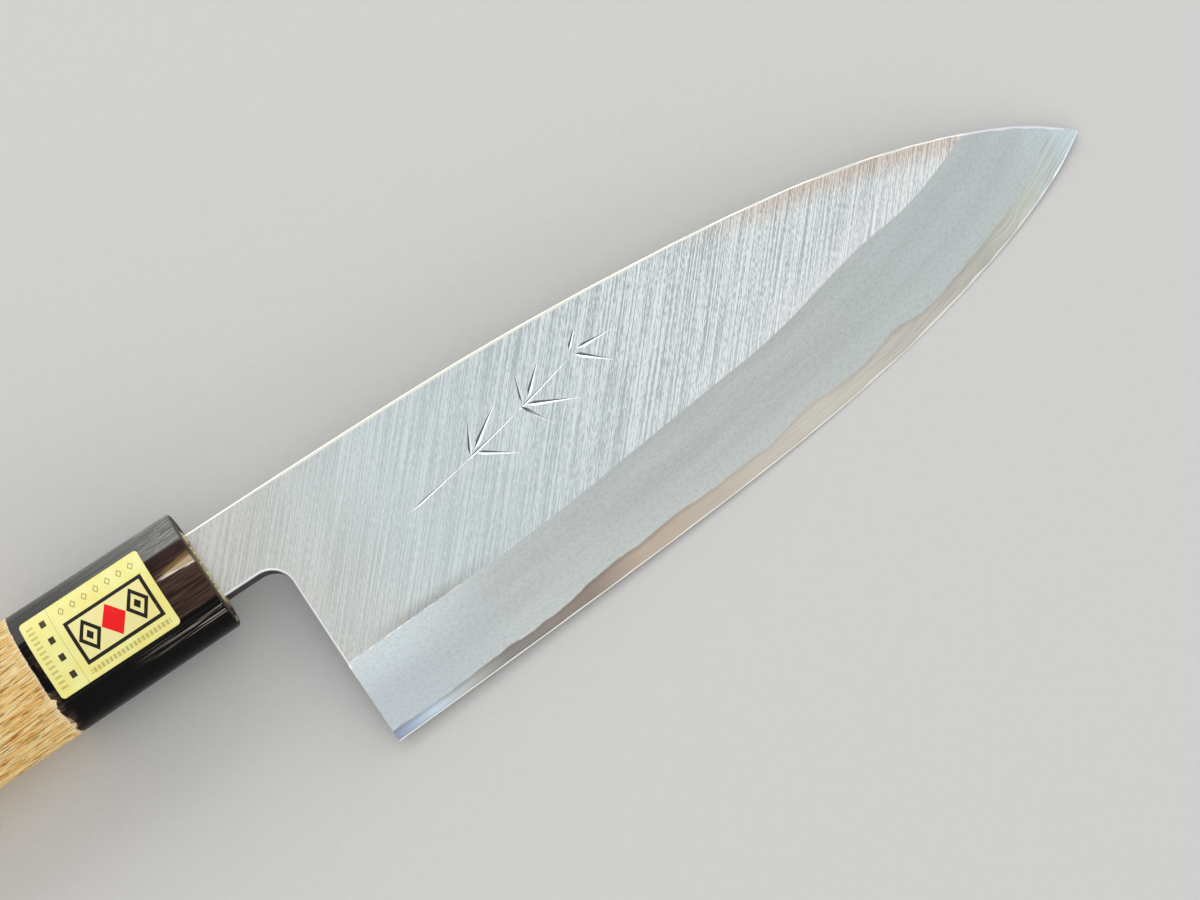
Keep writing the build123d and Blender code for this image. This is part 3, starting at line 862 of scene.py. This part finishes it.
foil_sheet = bmesh.new()
bmesh.ops.create_grid(foil_sheet, x_segments=CELLS_LONG, y_segments=CELLS_WIDE, size=1)
for corner in foil_sheet.verts:
    across, up = corner.co.x * LABEL_LONG / 2, corner.co.y * LABEL_WIDE / 2
    past = Vector((abs(across) - LABEL_LONG / 2, abs(up) - LABEL_WIDE / 2))
    past += Vector((LABEL_CORNER, LABEL_CORNER))
    if min(past) > 0:
        past *= max(past) / past.length
        across = math.copysign(LABEL_LONG / 2 - LABEL_CORNER + past.x, across)
        up = math.copysign(LABEL_WIDE / 2 - LABEL_CORNER + past.y, up)
    corner.co = (LABEL_X + across, LABEL_Y + up, 0)

# Each corner is laid on the horn at its own x and y, and the lower edge lifts towards the wood
for corner in foil_sheet.verts:
    x, y, _ = corner.co
    section = handle_outline(x, 0.005)
    low, high = 0.0, math.pi
    for _ in range(HALVINGS):
        middle = (low + high) / 2
        low, high = (middle, high) if section(middle).x > y else (low, middle)
    lift = max(0.0, (LABEL_Y - y) / (LABEL_WIDE / 2) - LIFT_FROM) / (1 - LIFT_FROM)
    far_end = max(0.0, min(1.0, (LABEL_X + 4 - x) / 14))
    corner.co.z = section(low).y + LIFT_HIGH * lift**2 * (0.25 + 0.75 * far_end)
bmesh.ops.recalc_face_normals(foil_sheet, faces=foil_sheet.faces)
if sum(face.normal.z for face in foil_sheet.faces) < 0:
    bmesh.ops.reverse_faces(foil_sheet, faces=foil_sheet.faces)

foil = Finish("printed_foil")
u, v = foil.x - LABEL_X, foil.y - LABEL_Y


def inside(distance):
    """1 where the distance to a printed line's edge is negative, with a clean thin edge."""
    return 1 - foil.rise(distance, -0.04, 0.04)


def block(u, v, half_long, half_wide):
    """A printed rectangle about u = v = 0."""
    return inside((abs(u) - half_long).at_least(abs(v) - half_wide))


def lozenge(u, v, half_long, half_wide):
    """A printed lozenge about u = v = 0."""
    return inside((abs(u) / half_long + abs(v) / half_wide - 1) * 2)


# The frame with its three lozenges: half lengths and half widths, in mm
FRAME_U, FRAME_V, FRAME_HALF_LONG, FRAME_HALF_WIDE, FRAME_LINE = 3.0, -0.9, 8.7, 4.7, 0.75
RED_LOZENGE, LOZENGE_STEP = (2.7, 3.5), 5.3
BLACK_LOZENGE, BLACK_OPENING, BLACK_CORE = (2.5, 3.5), (1.6, 2.3), (0.8, 1.1)

framed_u, framed_v = u - FRAME_U, v - FRAME_V
frame_lines = block(framed_u, framed_v, FRAME_HALF_LONG, FRAME_HALF_WIDE) - block(
    framed_u, framed_v, FRAME_HALF_LONG - FRAME_LINE, FRAME_HALF_WIDE - FRAME_LINE
)
black_print, red_print = frame_lines, lozenge(framed_u, framed_v, *RED_LOZENGE)
for side in (-LOZENGE_STEP, LOZENGE_STEP):
    beside = framed_u - side
    ring = lozenge(beside, framed_v, *BLACK_LOZENGE) - lozenge(beside, framed_v, *BLACK_OPENING)
    black_print = black_print + ring + lozenge(beside, framed_v, *BLACK_CORE)

# Rows of small marks above and below the frame, and two columns behind a dividing line
ROW_HALF_LONG, ROW_TOP, ROW_LOW, ROW_STEP, LOW_STEP = 8.9, 6.2, -7.0, 2.6, 0.9
DIVIDER_U, SQUARES_U, MARKS_U, SQUARES_STEP, MARKS_STEP = -7.3, -9.0, -11.7, 3.8, 1.1

in_row = abs(framed_u) < ROW_HALF_LONG
row_u, row_v = framed_u.repeated(ROW_STEP), v - ROW_TOP
upper_row = (lozenge(row_u, row_v, 0.66, 0.9) - lozenge(row_u, row_v, 0.42, 0.6)) * in_row
lower_row = block(framed_u.repeated(LOW_STEP), v - ROW_LOW, 0.3, 0.5) * in_row
divider = block(u - DIVIDER_U, v, 0.05, LABEL_WIDE / 2)
small_squares = block(u - SQUARES_U, (v + 1.6).repeated(SQUARES_STEP), 0.6, 0.7)
small_squares = small_squares * (abs(v - 0.3) < 7.6)
fine_marks = block(u - MARKS_U, v.repeated(MARKS_STEP), 0.7, 0.22) * (abs(v) < 7.4)

tarnish = foil.noise((6, 5, 5), detail=3, roughness=0.6, start=7)
foil_colour = foil.mix(foil.rise(tarnish, 0.3, 0.7), paint(252, 241, 142), paint(255, 252, 172))
in_frame = block(framed_u, framed_v, 8.0, 4.0)
foil_colour = foil.mix(in_frame * 0.35, foil_colour, paint(252, 232, 178))
foil_colour = foil.mix(divider * 0.6, foil_colour, paint(132, 122, 58))
foil_colour = foil.mix(lower_row * 0.55 + fine_marks * 0.5, foil_colour, paint(150, 138, 66))
foil_colour = foil.mix(upper_row * 0.75, foil_colour, paint(124, 112, 62))
foil_colour = foil.mix(small_squares, foil_colour, paint(62, 54, 34))
foil_colour = foil.mix(red_print, foil_colour, paint(252, 14, 16))
foil_colour = foil.mix(black_print, foil_colour, paint(16, 12, 4))
rubbed = foil.noise((2.4, 1.2, 1.2), turn=20, detail=4, roughness=0.65, start=16)
rubbed = foil.rise(rubbed, 0.62, 0.8)
foil_colour = foil.mix(rubbed * 0.25, foil_colour, paint(255, 250, 214))
foil_height = foil.noise((5, 4, 4), start=31) * 0.05 + rubbed * 0.004 + red_print * 0.006
foil_rough = 0.34 + rubbed * 0.2 + tarnish * 0.08
foil.close(foil_colour, foil_rough, foil_height, {"Specular IOR Level": 0.3})

label = seat(foil_sheet, "label_foil_printed", "foil_label", foil, crease=50)
sheet_body = label.modifiers.new("foil_body", "SOLIDIFY")
sheet_body.thickness, sheet_body.offset = LABEL_THICK * MM, 1


# Plain pale table under the knife, two soft lamps and a pale room.
# They stand in for a photographer's table and belong to no part of the knife.

TABLE_HALF, ROOM_LIGHT, ROOM_SEEN = 3, 0.68, 0.84

table = bmesh.new()
bmesh.ops.create_grid(table, x_segments=1, y_segments=1, size=TABLE_HALF)
table_mesh = bpy.data.meshes.new("pale_table")
table.to_mesh(table_mesh)
table.free()
floor = bpy.data.objects.new("pale_table", table_mesh)
bpy.context.scene.collection.objects.link(floor)
table_top = Finish("pale_table")
speckle = table_top.noise((1.5, 1.5, 1.5), detail=3)
table_top.close(
    table_top.mix(speckle, paint(214, 214, 212), paint(220, 220, 218)), 0.85, speckle * 0.01, {}
)
table_mesh.materials.append(table_top.material)


def softbox(name, place, long, high, power):
    """A soft lamp at a place, of a length and height in metres and a power in watts."""
    lamp = bpy.data.lights.new(name, "AREA")
    lamp.shape, lamp.size, lamp.size_y, lamp.energy = "RECTANGLE", long, high, power
    stand = bpy.data.objects.new(name, lamp)
    stand.location = place
    stand.rotation_euler = (-Vector(place)).to_track_quat("-Z", "Y").to_euler()
    bpy.context.scene.collection.objects.link(stand)


softbox("lamp_behind", (0.2, 1.5, 0.85), 4.8, 1.0, 20)
softbox("lamp_front", (0.1, -1.3, 0.55), 2.2, 0.6, 4)

room = bpy.data.worlds.new("pale_room")
room.use_nodes = True
bpy.context.scene.world = room
air = Shading(room.node_tree)
ray = air.node("ShaderNodeLightPath", {}, {}, "Is Camera Ray")
seen = ray.at_least(ray.output("Is Glossy Ray")).at_least(ray.output("Is Transmission Ray"))
strength = ROOM_LIGHT + seen * (ROOM_SEEN - ROOM_LIGHT)
sky = air.node("ShaderNodeBackground", {}, {"Color": (1, 1, 1, 1), "Strength": strength})
air.node("ShaderNodeOutputWorld", {}, {"Surface": sky})


# The photograph's camera: a long lens, high above the table and turned.
# Its place was fitted to the line of the handle, the heel and the tip.

LENS, SENSOR = 90.0, 36.0
CAMERA_PLACE = (0.02014, -0.14083, 0.57374)
CAMERA_RIGHT = Vector((0.82996, -0.55067, -0.08904))
CAMERA_UP = Vector((0.55568, 0.80217, 0.21851))

camera_body = bpy.data.cameras.new("photo_camera")
camera_body.lens, camera_body.sensor_width = LENS, SENSOR
camera_body.clip_start = 0.01
camera = bpy.data.objects.new("photo_camera", camera_body)
turned = Matrix((CAMERA_RIGHT, CAMERA_UP, CAMERA_RIGHT.cross(CAMERA_UP))).transposed()
camera.matrix_world = Matrix.Translation(CAMERA_PLACE) @ turned.to_4x4()
bpy.context.scene.collection.objects.link(camera)
bpy.context.scene.camera = camera
bpy.context.scene.view_settings.view_transform = "Standard"

bpy.context.view_layer.update()
